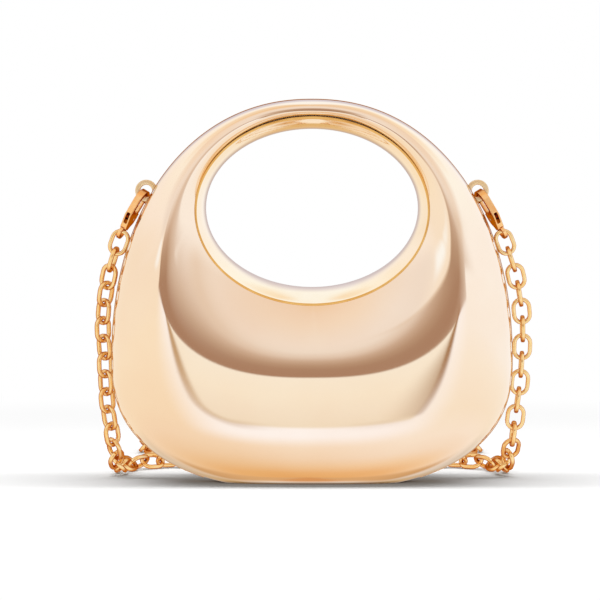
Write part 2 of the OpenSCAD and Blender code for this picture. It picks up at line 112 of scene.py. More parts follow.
def curve_pow(value: float, power: float) -> float:
    """Returns a power of the value's size, with the value's sign."""
    return math.copysign(abs(value) ** power, value)


def ease(t: float) -> float:
    """Returns t, held between 0 and 1, on a soft S curve."""
    u = max(0.0, min(1.0, t))
    return u * u * (3 - 2 * u)


# --- materials ---


class Nodes:
    """Makes the nodes of one tree, one short call each."""

    def __init__(self, tree: bpy.types.NodeTree) -> None:
        """Keeps the tree that the nodes are made in."""
        self.tree = tree

    def feed(self, node: Node, inputs: dict) -> None:
        """Gives a node's sockets, by name or index, their values or the outputs that feed them."""
        for name, value in inputs.items():
            socket = node.inputs[name]
            if isinstance(value, Socket):
                self.tree.links.new(value, socket)
            else:
                socket.default_value = (*value, 1) if socket.type == "RGBA" else value

    def add(self, kind: str, inputs: Optional[dict] = None, **settings) -> Node:
        """Makes a node.

        Args:
            kind: The node's type, without the word ShaderNode.
            inputs: What its sockets get.
            settings: Properties of the node.

        Returns:
            The node.
        """
        node = self.tree.nodes.new(kind if kind.startswith("NodeGroup") else f"ShaderNode{kind}")
        for name, value in settings.items():
            setattr(node, name, value)
        self.feed(node, inputs or {})
        return node

    def out(self, kind: str, inputs: Optional[dict] = None, which: int | str = 0, **settings) -> Socket:
        """Makes a node as add does, and returns one of its outputs."""
        return self.add(kind, inputs, **settings).outputs[which]

    def maths(self, operation: str, *values: Value) -> Socket:
        """Returns the result of a Math node on up to three values."""
        return self.out("Math", dict(enumerate(values)), operation=operation)

    def times(self, first: Value, *others: Value) -> Socket:
        """Returns the product of two or more values."""
        for other in others:
            first = self.maths("MULTIPLY", first, other)
        return first

    def rest(self, value: Value) -> Socket:
        """Returns what a value lacks of 1."""
        return self.maths("SUBTRACT", 1.0, value)

    def step(self, value: Value, low: float, high: float) -> Socket:
        """Returns 0 to 1, softly, as the value goes from low to high. High may be the lesser."""
        return self.out("MapRange", {0: value, 1: low, 2: high}, interpolation_type="SMOOTHSTEP")

    def blend(self, share: Value, first: Tone, second: Tone) -> Socket:
        """Returns a mix of two colours, by the share of the second."""
        return self.out("Mix", {0: share, 6: first, 7: second}, 2, data_type="RGBA")

    def place(self) -> Socket:
        """Returns the place on the piece, in metres."""
        return self.out("TexCoord", which="Object")

    def noise(self, place: Socket, scale: Value, detail: float) -> Socket:
        """Returns soft noise at a place, by its scale and its depth of detail."""
        return self.out("TexNoise", {"Vector": place, "Scale": scale, "Detail": detail})

    def bump(self, height: Socket, distance: float, strength: float) -> Socket:
        """Returns the normal of a surface with a low relief."""
        return self.out("Bump", {"Height": height, "Distance": distance, "Strength": strength})

    def ramp(self, value: Socket, stops: Sequence[tuple[float, Colour]]) -> Socket:
        """Returns the colour of a ramp at a value, from its stops in rising order."""
        node = self.add("ValToRGB", {0: value})
        elements = node.color_ramp.elements
        for element, (place, colour) in zip(elements, (stops[0], stops[-1])):
            element.position, element.color = place, (*colour, 1)
        for place, colour in stops[1:-1]:
            elements.new(place).color = (*colour, 1)
        return node.outputs[0]


def new_material(name: str) -> tuple[Material, Nodes, Node]:
    """Starts a material with a lone shader.

    Args:
        name: The material's name.

    Returns:
        The material, the maker of its nodes and its shader.
    """
    material = bpy.data.materials.new(name)
    material.use_nodes = True
    return material, Nodes(material.node_tree), material.node_tree.nodes["Principled BSDF"]


class Effects:
    """The shader groups that several finishes share, each built once."""

    def __init__(self) -> None:
        """Builds the groups."""
        self.polish = self._polish()
        self.brushing = self._brushing()

    @staticmethod
    def _start(name: str, inputs: dict[str, float], outputs: Sequence[str]) -> tuple[Nodes, Sequence[Socket]]:
        """Starts a group with named sockets.

        Args:
            name: The group's name.
            inputs: Names and defaults of its inputs.
            outputs: Names of its outputs.

        Returns:
            The maker of its nodes, and the inputs' values inside it.
        """
        tree = bpy.data.node_groups.new(name, "ShaderNodeTree")
        number = {"socket_type": "NodeSocketFloat"}
        for label, value in inputs.items():
            tree.interface.new_socket(label, in_out="INPUT", **number).default_value = value
        for label in outputs:
            tree.interface.new_socket(label, in_out="OUTPUT", **number)
        n = Nodes(tree)
        return n, n.add("NodeGroupInput").outputs

    def _polish(self) -> bpy.types.NodeTree:
        """Polished plate: soft clouds from buffing, fine hairlines and a slow drift of tone."""
        n, given = self._start("polish_marks", {"Scale": 40.0, "Clouds": 0.5, "Hairlines": 0.5},
                               ("Roughness", "Tone"))
        finer, along_x, turned = 30.0, (1.0, 0.06, 1.0), (0.4, 0.9, 0.3)
        place = n.place()
        cloud = n.noise(place, given["Scale"], 3.0)
        buffed = n.out("Mapping", {0: place, "Rotation": turned, "Scale": along_x})
        hair = n.step(n.noise(buffed, n.times(given["Scale"], finer), 2.0), 0.62, 0.74)
        rough = n.maths("ADD", n.times(cloud, given["Clouds"]), n.times(hair, given["Hairlines"]))
        n.add("NodeGroupOutput", {"Roughness": rough, "Tone": n.step(cloud, 0.3, 0.7)})
        return n.tree

    def _brushing(self) -> bpy.types.NodeTree:
        """Brushed or drawn metal: long fine lines along X."""
        n, given = self._start("drawn_lines", {"Scale": 900.0}, ("Mask",))
        drawn = n.out("Mapping", {0: n.place(), "Scale": (0.03, 1.0, 1.0)})
        n.add("NodeGroupOutput", {"Mask": n.noise(drawn, given["Scale"], 3.0)})
        return n.tree


@dataclass(frozen=True)
class Finish:
    """A finish of two tones that makes its own material once.

    Attributes:
        name: Name of the material.
        colour: Main colour, on a screen.
        shade: Colour of what lies lower, or towards which the tone drifts, on a screen.
    """

    name: str
    colour: Screen
    shade: Screen

    def material(self, effects: Effects) -> Material:
        """Builds the finish's material."""
        raise NotImplementedError


@dataclass(frozen=True)
class Polished(Finish):
    """Polished or plated metal.

    Attributes:
        roughness: Least roughness.
        clouds: Roughness that the buffing clouds add.
        hairlines: Roughness that the hairlines add.
        scale: Scale of the clouds, per metre.
        edge: Painted shade: colour towards which small round pieces darken where they turn away from the
            view.
        foot: Painted shadow: colour that the base darkens to next to the floor, in place of the contact
            shadow that the polish would mirror.
    """

    roughness: float
    clouds: float
    hairlines: float
    scale: float
    edge: Optional[Screen] = None
    foot: Optional[Screen] = None

    TURNED_AWAY = (0.12, 0.72)
    EDGE_GLEAM = (1.0, 0.66, 0.36)
    SHADOW_HEIGHT = (0.1 * MM, 1.6 * MM)
    SHADOW_DEPTH = (10 * MM, 17 * MM)
    CLEAR_HEIGHT = (8 * MM, 30 * MM)
    SHADOW_LEFT = 0.35

    def material(self, effects: Effects) -> Material:
        """Builds the metal from the shared polish marks."""
        material, n, shader = new_material(self.name)
        marks = n.add("Group", {"Scale": self.scale, "Clouds": self.clouds, "Hairlines": self.hairlines},
                      node_tree=effects.polish).outputs
        tone = n.blend(marks["Tone"], linear(*self.colour), linear(*self.shade))
        # Painted shade: surfaces that turn away from the view darken towards the edge colour.
        if self.edge:
            facing = n.out("LayerWeight", {0: 0.5}, "Facing")
            tone = n.blend(n.step(facing, *self.TURNED_AWAY), tone, linear(*self.edge))
            n.feed(shader, {"Specular Tint": self.EDGE_GLEAM})
        # Painted shadow: the base takes the foot colour at the floor, and a share of it low down near the
        # parting plane, in place of the mirrored contact shadow.
        if self.foot:
            _, depth, height = n.add("SeparateXYZ", {0: n.place()}).outputs
            out = n.step(n.maths("ABSOLUTE", depth), *self.SHADOW_DEPTH)
            clear = n.maths("MAXIMUM", out, n.step(height, *self.CLEAR_HEIGHT))
            kept = n.maths("MULTIPLY_ADD", clear, self.SHADOW_LEFT, 1 - self.SHADOW_LEFT)
            tone = n.blend(n.times(n.step(height, *self.SHADOW_HEIGHT), kept), linear(*self.foot), tone)
        rough = n.maths("ADD", marks["Roughness"], self.roughness)
        n.feed(shader, {"Base Color": tone, "Roughness": rough, "Metallic": 1.0})
        return material


@dataclass(frozen=True)
class Drawn(Finish):
    """Metal with fine drawn lines, as on leaves, screws and pins.

    Attributes:
        roughness: Least roughness.
        scale: Lines per metre, about.
    """

    roughness: float
    scale: float

    RELIEF = 0.04 * MM

    def material(self, effects: Effects) -> Material:
        """Builds the metal from the shared drawn lines."""
        material, n, shader = new_material(self.name)
        lines = n.out("Group", {"Scale": self.scale}, "Mask", node_tree=effects.brushing)
        n.feed(shader, {
            "Base Color": n.blend(lines, linear(*self.shade), linear(*self.colour)),
            "Roughness": n.maths("MULTIPLY_ADD", lines, 0.15, self.roughness),
            "Metallic": 1.0,
            "Normal": n.bump(lines, self.RELIEF, 0.4),
        })
        return material


@dataclass(frozen=True)
class Woven(Finish):
    """Fine satin twill of the lining.

    Attributes:
        thread: Threads per metre.
    """

    thread: float = 2400.0

    SLANT = (0.0, 0.7, 0.5)
    SLUBS = 160.0
    SHEEN = 0.3
    RELIEF = 0.1 * MM

    def material(self, effects: Effects) -> Material:
        """Builds the cloth: a diagonal twill over slubs, with sheen."""
        material, n, shader = new_material(self.name)
        place = n.place()
        slanted = n.out("Mapping", {0: place, "Rotation": self.SLANT})
        twill = n.out("TexWave", {"Vector": slanted, "Scale": self.thread / math.tau, "Distortion": 0.6,
                                  "Detail": 1.0}, "Fac")
        mask = n.times(twill, n.step(n.noise(place, self.SLUBS, 4.0), 0.1, 0.6))
        n.feed(shader, {
            "Base Color": n.blend(mask, linear(*self.shade), linear(*self.colour)),
            "Roughness": n.maths("MULTIPLY_ADD", mask, -0.2, 0.75),
            "Sheen Weight": self.SHEEN,
            "Normal": n.bump(mask, self.RELIEF, 0.6),
        })
        return material


class Finishes:
    """All finishes of the bag, each with its material."""

    # The shell's foot colour is a painted contact shadow at its base.
    SHELL = Polished("pale_gold_mirror", (251, 236, 217), (250, 232, 211), 0.045, 0.03, 0.03, 22.0,
                     foot=(96, 66, 44))
    COLLAR = Polished("collar_gold", (252, 237, 214), (251, 232, 202), 0.05, 0.04, 0.03, 45.0)
    BEAD = Polished("bead_yellow_gold", (246, 206, 132), (238, 190, 112), 0.06, 0.05, 0.03, 90.0)
    RIM = Polished("rim_bronze_gold", (226, 176, 118), (212, 156, 96), 0.12, 0.08, 0.05, 80.0)
    # The edge colours of the eyelets, links and clasps are painted shade where they turn from the view.
    EYELET = Polished("eyelet_gold", (255, 240, 206), (255, 230, 180), 0.30, 0.08, 0.05, 160.0,
                      edge=(176, 108, 52))
    CHAIN = Polished("yellow_gold_links", (255, 230, 176), (255, 216, 148), 0.10, 0.10, 0.06, 240.0,
                     edge=(184, 92, 26))
    CLASP = Polished("copper_gold_cast", (255, 214, 156), (255, 196, 128), 0.10, 0.12, 0.06, 260.0,
                     edge=(158, 66, 18))
    HINGE = Drawn("drawn_brass", (226, 178, 104), (190, 138, 72), 0.22, 1400.0)
    STEEL = Drawn("drawn_steel", (214, 212, 208), (170, 168, 166), 0.2, 2200.0)
    MAGNET = Polished("nickel_plate", (206, 206, 208), (190, 190, 194), 0.14, 0.1, 0.08, 300.0)
    LINING = Woven("satin_lining", (240, 222, 198), (224, 203, 176))

    def __init__(self) -> None:
        """Builds the shared effects."""
        self.effects = Effects()
        self.made: dict[str, Material] = {}

    def material(self, finish: Finish) -> Material:
        """Returns a finish's material, built once."""
        if finish.name not in self.made:
            self.made[finish.name] = finish.material(self.effects)
        return self.made[finish.name]

    def line(self, piece: Piece, finish: Finish) -> None:
        """Gives the faces of a piece that were marked with material index 1 a second finish."""
        piece.data.materials.append(self.material(finish))

    def dress(self, piece: Piece, finish: Finish) -> None:
        """Gives a piece or a CAD node's object its finish, in every material slot."""
        material, slots = self.material(finish), piece.data.materials
        if not slots:
            slots.append(material)
        for index in range(len(slots)):
            slots[index] = material


# --- mesh work ---


def shown(name: str, data: bpy.types.ID) -> Piece:
    """Returns a new object of the data, put in the scene."""
    piece = bpy.data.objects.new(name, data)
    bpy.context.scene.collection.objects.link(piece)
    return piece


def to_mesh(bm: BMesh, mesh: bpy.types.Mesh, sharp: Optional[float] = None) -> bpy.types.Mesh:
    """Writes a bmesh to a mesh and frees it.

    Args:
        bm: The bmesh.
        mesh: The mesh that it goes to.
        sharp: Angle between faces, in degrees, past which an edge of a smooth piece stays sharp.

    Returns:
        The mesh.
    """
    if sharp:
        for face in bm.faces:
            face.smooth = True
        for edge in bm.edges:
            edge.smooth = edge.calc_face_angle(0.0) < math.radians(sharp)
    bm.to_mesh(mesh)
    bm.free()
    return mesh


def to_piece(name: str, bm: BMesh, sharp: float = 40.0, weld: float = MERGE) -> Piece:
    """Turns a bmesh into a shown object at the origin, smooth but for its sharp edges.

    Args:
        name: The object's name.
        bm: The bmesh, which is freed.
        sharp: Angle between faces, in degrees, past which an edge stays sharp.
        weld: Distance within which points are merged.

    Returns:
        The object.
    """
    if weld:
        ops.remove_doubles(bm, verts=bm.verts, dist=weld)
    ops.dissolve_degenerate(bm, edges=bm.edges, dist=MERGE / 100)
    ops.recalc_face_normals(bm, faces=bm.faces)
    return shown(name, to_mesh(bm, bpy.data.meshes.new(name), sharp))


def carried_round(around: int, rows: Sequence[tuple], point: Callable[..., Vector]) -> BMesh:
    """A closed section carried once round the bag.

    Args:
        around: Segments round the bag.
        rows: The values of each point of the section, in order round it.
        point: Gives the point at an angle round the bag, in radians, from such values.

    Returns:
        The bmesh, with its meeting edges not yet merged.
    """
    bm = bmesh.new()
    ops.create_grid(bm, x_segments=around, y_segments=len(rows), size=0.5)
    for v in bm.verts:
        v.co = point(math.tau * (v.co.x + 0.5), *rows[round((v.co.y + 0.5) * len(rows)) % len(rows)])
    return bm


def cut_level(bm: BMesh, height: float, **removed: bool) -> None:
    """Cuts a bmesh along a level plane, and removes what is said, such as clear_outer."""
    ops.bisect_plane(bm, geom=bm.verts[:] + bm.edges[:] + bm.faces[:], dist=MERGE / 10,
                     plane_co=(0, 0, height), plane_no=(0, 0, 1), **removed)


def close_holes(bm: BMesh) -> None:
    """Fills every open edge loop."""
    ops.holes_fill(bm, edges=[e for e in bm.edges if e.is_boundary], sides=0)


def box_mesh(low: Vector, high: Vector) -> BMesh:
    """A block between two corners."""
    bm = bmesh.new()
    ops.create_cube(bm, size=1.0)
    ops.scale(bm, vec=high - low, verts=bm.verts)
    ops.translate(bm, vec=(low + high) / 2, verts=bm.verts)
    return bm


def settled(piece: Piece) -> Piece:
    """Makes a piece's modifiers part of its mesh, so that none stays on it."""
    graph = bpy.context.evaluated_depsgraph_get()
    mesh = bpy.data.meshes.new_from_object(piece.evaluated_get(graph))
    piece.modifiers.clear()
    piece.data = mesh
    return piece


def cut_out(piece: Piece, sharp: float, *notches: tuple[float, float, float]) -> Piece:
    """Cuts block-shaped notches out of the foot of a closed piece.

    Args:
        piece: The piece that is cut.
        sharp: Angle past which its edges stay sharp, in degrees.
        notches: Half width, half depth and height of each notch, in the middle of the base.

    Returns:
        The piece.
    """
    for x, y, z in notches:
        cutter = to_piece("notch_cutter", box_mesh(Vector((-x, -y, -MM)), Vector((x, y, z))))
        cut = piece.modifiers.new("notch", "BOOLEAN")
        cut.operation, cut.object, cut.solver = "DIFFERENCE", cutter, "EXACT"
        settled(piece)
        bpy.data.objects.remove(cutter)
    bm = bmesh.new()
    bm.from_mesh(piece.data)
    to_mesh(bm, piece.data, sharp)
    return piece


# --- the bag's form ---


@dataclass(frozen=True)
class BagForm:
    """Sizes of the bag, in metres, and the curves that its pieces follow.

    Angles go round the bag's face from +X over +Z, and a depth is measured from the parting plane. A power
    shapes an oval or a fall. The handle's part of the crest starts at a sine of the angle, and is whole
    so much further. A clasp's seat is measured from its eyelet's eye, and its lean is in degrees.
    """

    width: float = 200 * MM
    height: float = 191 * MM
    depth: float = 70 * MM
    belly: float = 60 * MM
    base_cut: float = 4 * MM
    handle_depth: float = 36 * MM
    wall: float = 2 * MM
    hole_width: float = 106 * MM
    hole_height: float = 79 * MM
    handle_bar: float = 14.5 * MM
    flare_top: float = 5 * MM
    flare_side: float = 3.9 * MM
    flare_bottom: float = 7.5 * MM
    collar_top: float = 14.5 * MM
    collar_side: float = 25 * MM
    collar_bottom: float = 24 * MM
    collar_thick: float = 1.2 * MM
    bead: float = 0.9 * MM
    bead_seats: tuple[float, float] = (-0.3 * MM, 0.3 * MM)
    crest_width: float = 148 * MM
    crest_drop: float = 6 * MM
    crest_below: float = 43.5 * MM
    crest_low: float = 31.5 * MM
    rim_thick: float = 1.2 * MM
    rim_proud: float = 0.4 * MM
    half_gap: float = 0.1 * MM
    seat: float = 0.3 * MM
    lining_thick: float = 0.8 * MM
    lining_low: float = 19 * MM
    eyelet_drop: float = 47 * MM
    eyelet_out: float = 3.2 * MM
    eyelet_thick: float = 1.8 * MM
    clasp_seat: float = -0.3 * MM
    clasp_length: float = 28 * MM
    clasp_ring: float = 3.6 * MM
    clasp_lean: float = 31.0
    upper_power: float = 2.17
    lower_power: float = 2.4
    side_power: float = 2.3
    crest_power: float = 1.6
    handle_power: float = 3.2
    handle_part: tuple[float, float] = (0.2, 0.5)
    crest_upper_power: float = 2.27
    crest_lower_power: float = 2.6
    depth_power: float = 2.7
    flare_power: float = 2.2

    @property
    def hole_low(self) -> float:
        """Height of the hole's lowest point."""
        return self.height - self.handle_bar - self.hole_height

    @property
    def hole_mid(self) -> float:
        """Height of the middle of the hole."""
        return self.hole_low + self.hole_height / 2

    @property
    def rim_face(self) -> float:
        """Depth at which the shell meets its rim."""
        return self.half_gap + self.rim_thick

    @property
    def lining_top(self) -> float:
        """Height of the lining's upper edge."""
        return self.hole_mid - self.lining_low

    @property
    def crest_span(self) -> tuple[float, float]:
        """Lowest and highest point of the crest."""
        return self.hole_low - self.crest_below, self.height - self.crest_drop

    @property
    def crease_span(self) -> tuple[float, float]:
        """Lowest and highest point of the collar's outer edge."""
        return self.hole_low - self.flare_bottom, self.hole_low + self.hole_height + self.flare_top

    @staticmethod
    def oval(a: float, half_w: float, low: float, mid: float, high: float, power_up: float = 2,
             power_down: float = 2) -> Vector:
        """Returns the point at an angle, as X and Z, of an oval that is widest at a middle height."""
        reach, power = (high - mid, power_up) if math.sin(a) >= 0 else (mid - low, power_down)
        x, z = (curve_pow(f(a), 2 / power) for f in (math.cos, math.sin))
        return Vector((half_w * x, mid + reach * z))

    def outline(self, a: float) -> Vector:
        """Returns the silhouette at angle a."""
        return self.oval(a, self.width / 2, -self.base_cut, self.belly, self.height, self.upper_power,
                         self.lower_power)

    def normal(self, a: float) -> Vector:
        """Returns the outward direction of the silhouette at angle a."""
        half_degree = 0.0087
        along = self.outline(a + half_degree) - self.outline(a - half_degree)
        return Vector((along.y, -along.x)).normalized()

    def outset(self, a: float, out: float) -> Vector:
        """Returns the silhouette at angle a, moved outwards."""
        return self.outline(a) + self.normal(a) * out

    def crest(self, a: float) -> Vector:
        """Returns the crest that runs round the face at angle a."""
        low, high = self.crest_span
        return self.oval(a, self.crest_width / 2, low, self.hole_mid - self.crest_low, high,
                         self.crest_upper_power, self.crest_lower_power)

    def crest_sharpness(self, a: float) -> float:
        """Returns the power with which the face leaves its crest at angle a, rounder along the handle."""
        start, over = self.handle_part
        return mix(self.crest_power, self.handle_power, ease((math.sin(a) - start) / over))

    def crest_depth(self, z: float) -> float:
        """Returns the depth of the crest at height z."""
        low, high = self.crest_span
        share = max(0.0, z - low) / (high - low)
        return mix(self.depth, self.handle_depth, share ** self.depth_power) / 2

    def hole(self, a: float) -> Vector:
        """Returns the hole's edge on the parting plane at angle a."""
        low = self.hole_low
        return self.oval(a, self.hole_width / 2, low, self.hole_mid, low + self.hole_height)

    def crease(self, a: float, grow: float = 0.0) -> Vector:
        """Returns the collar's outer edge at angle a, moved outwards by grow."""
        low, high = self.crease_span
        half_w = self.hole_width / 2 + self.flare_side + grow
        return self.oval(a, half_w, low - grow, (low + high) / 2, high + grow)

    def crease_depth(self, z: float) -> float:
        """Returns the depth of the collar's outer edge at height z."""
        low, high = self.crease_span
        s = (high - z) / (high - low)
        return (self.collar_top * (1 - s) * (1 - 2 * s) + self.collar_side * 4 * s * (1 - s)
                + self.collar_bottom * s * (2 * s - 1))

    def face(self, a: float, t: float, inset: float = 0.0) -> Vector:
        """Returns a point of the front face, or of a layer under it.

        Args:
            a: Angle round the face.
            t: -1 at the collar, 0 on the crest and 1 at the silhouette.
            inset: Depth of the layer under the face.

        Returns:
            The point, not yet cut flat at the base.
        """
        crest = self.crest(a)
        crest_d = self.crest_depth(crest.y) - inset
        if t < 0:
            edge = self.crease(a, self.bead + mix(*self.bead_seats, ease(math.sin(a))))
            edge_d = self.crease_depth(edge.y) - inset
            p, d = mix(edge, crest, 1 + t), mix(edge_d, crest_d, 1 - t * t)
        else:
            s = math.sin(math.pi / 2 * t) ** (2 / self.crest_sharpness(a))
            c = max(0.0, math.cos(math.pi / 2 * t)) ** (2 / self.side_power)
            p, d = mix(crest, self.outset(a, -inset), s), mix(self.rim_face, crest_d, c)
        return Vector((p.x, -d, p.y))

    def eyelet_angle(self) -> float:
        """Returns the angle of the silhouette's point under the right eyelet."""
        rise = (self.height - self.eyelet_drop - self.belly) / (self.height - self.belly)
        return math.asin(rise ** (self.upper_power / 2))

    def ring(self) -> Vector:
        """Returns the middle of the right clasp's ring."""
        eye = self.outset(self.eyelet_angle(), self.eyelet_out)
        reach, lean = self.clasp_seat + self.clasp_length - self.clasp_ring, math.radians(self.clasp_lean)
        return Vector((eye.x + reach * math.sin(lean), self.rim_face + self.eyelet_thick / 2,
                       eye.y - reach * math.cos(lean)))


FORM = BagForm()


@dataclass
class Clamshell:
    """One half of the hard case: shell, rim, collar and lining.

    Attributes:
        half: Front or back.
        finishes: The bag's finishes.
        around: Segments round the face.
        inner_rows: Rows from the collar to the crest.
        outer_rows: Rows from the crest to the silhouette.
        inner_wall: Rows of the shell's inner side, before the crest and after it.
        lining_rows: Rows of the lining's sides, the same way.
        rim_rows: Points of the section of the rim's bead.
        flare_rows: Rows of the collar's flare.
        roll_rows: Rows of the collar's rolled bead, and of its underside.
        roll: The bead's section, by its size: how far out its middle is, half its width and its height.
        under: How thick the collar is just behind its bead, by its thickness.
        notch: Half width, half depth and height of the notch for the hinge.
        leaf_notch: The same for the notch in the lining round the hinge's leaf.
        rim_tall: Half the height of the rim's bead.
        rim_sunk: How far the bead's middle lies within the rim's edge.
        rim_over: Thickness of the bead against the rim's.
        rim_lift: Height of the bead's lowest line over the base.
        rim_square: Squareness of the bead's section, rounder towards 1.
    """

    half: Half
    finishes: Finishes
    around: int = 360
    inner_rows: int = 22
    outer_rows: int = 46
    inner_wall: tuple[int, int] = (6, 12)
    lining_rows: tuple[int, int] = (8, 16)
    rim_rows: int = 12
    flare_rows: int = 16
    roll_rows: int = 8
    roll: tuple[float, float, float] = (0.375, 0.625, 0.5)
    under: float = 0.8
    notch: tuple[float, float, float] = (54 * MM, 2.3 * MM, 3.8 * MM)
    leaf_notch: tuple[float, float, float] = (29 * MM, 10.8 * MM, 6.7 * MM)
    rim_tall: float = 0.3 * MM
    rim_sunk: float = 0.2 * MM
    rim_over: float = 1.02
    rim_lift: float = 0.05 * MM
    rim_square: float = 0.7

    SHARP = 42.0
    SHARP_EDGED = 50.0

    def build(self) -> list[Piece]:
        """Builds and dresses the half's pieces."""
        made = [
            (self._shell(), "shell", Finishes.SHELL),
            (self._rim(), "rim", Finishes.RIM),
            (self._collar(), "collar", Finishes.COLLAR),
            (self._lining(), "lining", Finishes.LINING),
        ]
        for piece, node, finish in made:
            self.finishes.dress(piece, finish)
            if node == "collar":
                self.finishes.line(piece, Finishes.BEAD)
            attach(piece, self.half.body)
            if node != "rim":
                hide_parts(f"{self.half.word}_{node}")
        return [piece for piece, _, _ in made]

    def _piece(self, bm: BMesh, part: str, sharp: float) -> Piece:
        """Turns a bmesh of the front half into the half's own piece, smooth but past a sharp angle."""
        ops.scale(bm, vec=(1, -self.half.value, 1), verts=bm.verts)
        return to_piece(f"{self.half.word}_{part}", bm, sharp)

    def _wall(self, outer: Sequence[float], near: float, inner: Sequence[float], far: float) -> BMesh:
        """A closed wall along the face, of which a layer with an inset stops at that height over the base.

        Args:
            outer: The outer layer's shares across the face.
            near: The outer layer's inset.
            inner: The inner layer's shares across the face.
            far: The inner layer's inset.

        Returns:
            The bmesh.
        """
        def point(a: float, t: float, inset: float) -> Vector:
            """Returns the point at an angle and a share across the face."""
            p = FORM.face(a, t, inset)
            return Vector((p.x, p.y, max(p.z, inset))) if inset else p

        rows = [(t, near) for t in outer] + [(t, far) for t in reversed(inner)]
        bm = carried_round(self.around, rows, point)
        ops.remove_doubles(bm, verts=bm.verts, dist=MERGE)
        return bm

    @staticmethod
    def _shares(before: int, after: int) -> list[float]:
        """Returns the shares across the face of so many rows before the crest and after it."""
        return [i / before - 1 for i in range(before)] + [i / after for i in range(after + 1)]

    def _shell(self) -> Piece:
        """The polished shell, a closed wall that is flat at the base and notched for the hinge."""
        outer, inner = self._shares(self.inner_rows, self.outer_rows), self._shares(*self.inner_wall)
        bm = self._wall(outer, 0.0, inner, FORM.wall)
        cut_level(bm, 0.0)
        for v in bm.verts:
            v.co.z = max(v.co.z, 0.0)
        return cut_out(self._piece(bm, "shell_skin", self.SHARP), self.SHARP, self.notch)

    def _rim(self) -> Piece:
        """A rounded bead over the rim's outer edge, open where the hinge is."""
        wide = FORM.rim_thick / 2

        def point(a: float, turn: float) -> Vector:
            """Returns the point at an angle and a turn round the bead."""
            up, out = (curve_pow(f(turn), self.rim_square) for f in (math.cos, math.sin))
            p = FORM.outset(a, FORM.rim_proud - self.rim_sunk + self.rim_tall * up)
            return Vector((p.x, -FORM.half_gap - wide - self.rim_over * wide * out, max(p.y, self.rim_lift)))

        rows = [(math.tau * i / self.rim_rows,) for i in range(self.rim_rows)]
        bm = carried_round(self.around * 2, rows, point)
        ops.remove_doubles(bm, verts=bm.verts, dist=MERGE)
        middles = ((f, f.calc_center_median()) for f in bm.faces)
        under = [f for f, m in middles if m.z < self.notch[2] and abs(m.x) < self.notch[0]]
        ops.delete(bm, geom=under, context="FACES")
        close_holes(bm)
        return self._piece(bm, "rim_bead", self.SHARP_EDGED)

    def _collar(self) -> Piece:
        """The flared collar that lines the hole, with a rolled bead on its edge."""
        flare, bends = self.flare_rows, self.roll_rows
        middle, half, high = (FORM.bead * share for share in self.roll)
        rows = [(i / flare, 0.0, 0.0) for i in range(flare)]
        for i in range(bends + 1):
            turn = math.pi * (1 - i / bends)
            rows.append((1.0, middle + half * math.cos(turn), high * math.sin(turn)))
        rows += [(1 - i / bends, FORM.collar_thick * min(1.0, self.under + 2 * i / bends), 0.0)
                 for i in range(1, bends + 1)]

        def point(a: float, share: float, out: float, forward: float) -> Vector:
            """Returns the point at an angle, a share of the flare, and a distance out from it and forward."""
            low, high = FORM.hole(a), FORM.crease(a)
            depth = FORM.crease_depth(high.y)
            p = mix(low, high, share ** FORM.flare_power) + (high - low).normalized() * out
            return Vector((p.x, -FORM.half_gap - (depth - FORM.half_gap) * share - forward, p.y))

        bm = carried_round(self.around, rows, point)
        bm.faces.ensure_lookup_table()
        for face in bm.faces:
            face.material_index = int(flare <= face.index // self.around < flare + bends)
        return self._piece(bm, "collar_roll", self.SHARP)

    def _lining(self) -> Piece:
        """The cloth tray in the half, cut level under the handle and round the hinge."""
        near, far = FORM.wall + FORM.seat, FORM.wall + FORM.seat + FORM.lining_thick
        shares = self._shares(*self.lining_rows)
        bm = self._wall(shares, near, shares, far)
        cut_level(bm, FORM.lining_top, clear_outer=True)
        close_holes(bm)
        tray = self._piece(bm, "lining_tray", self.SHARP_EDGED)
        return cut_out(tray, self.SHARP_EDGED, self.leaf_notch, self.notch)


# --- chain, clasps and eyelets ---


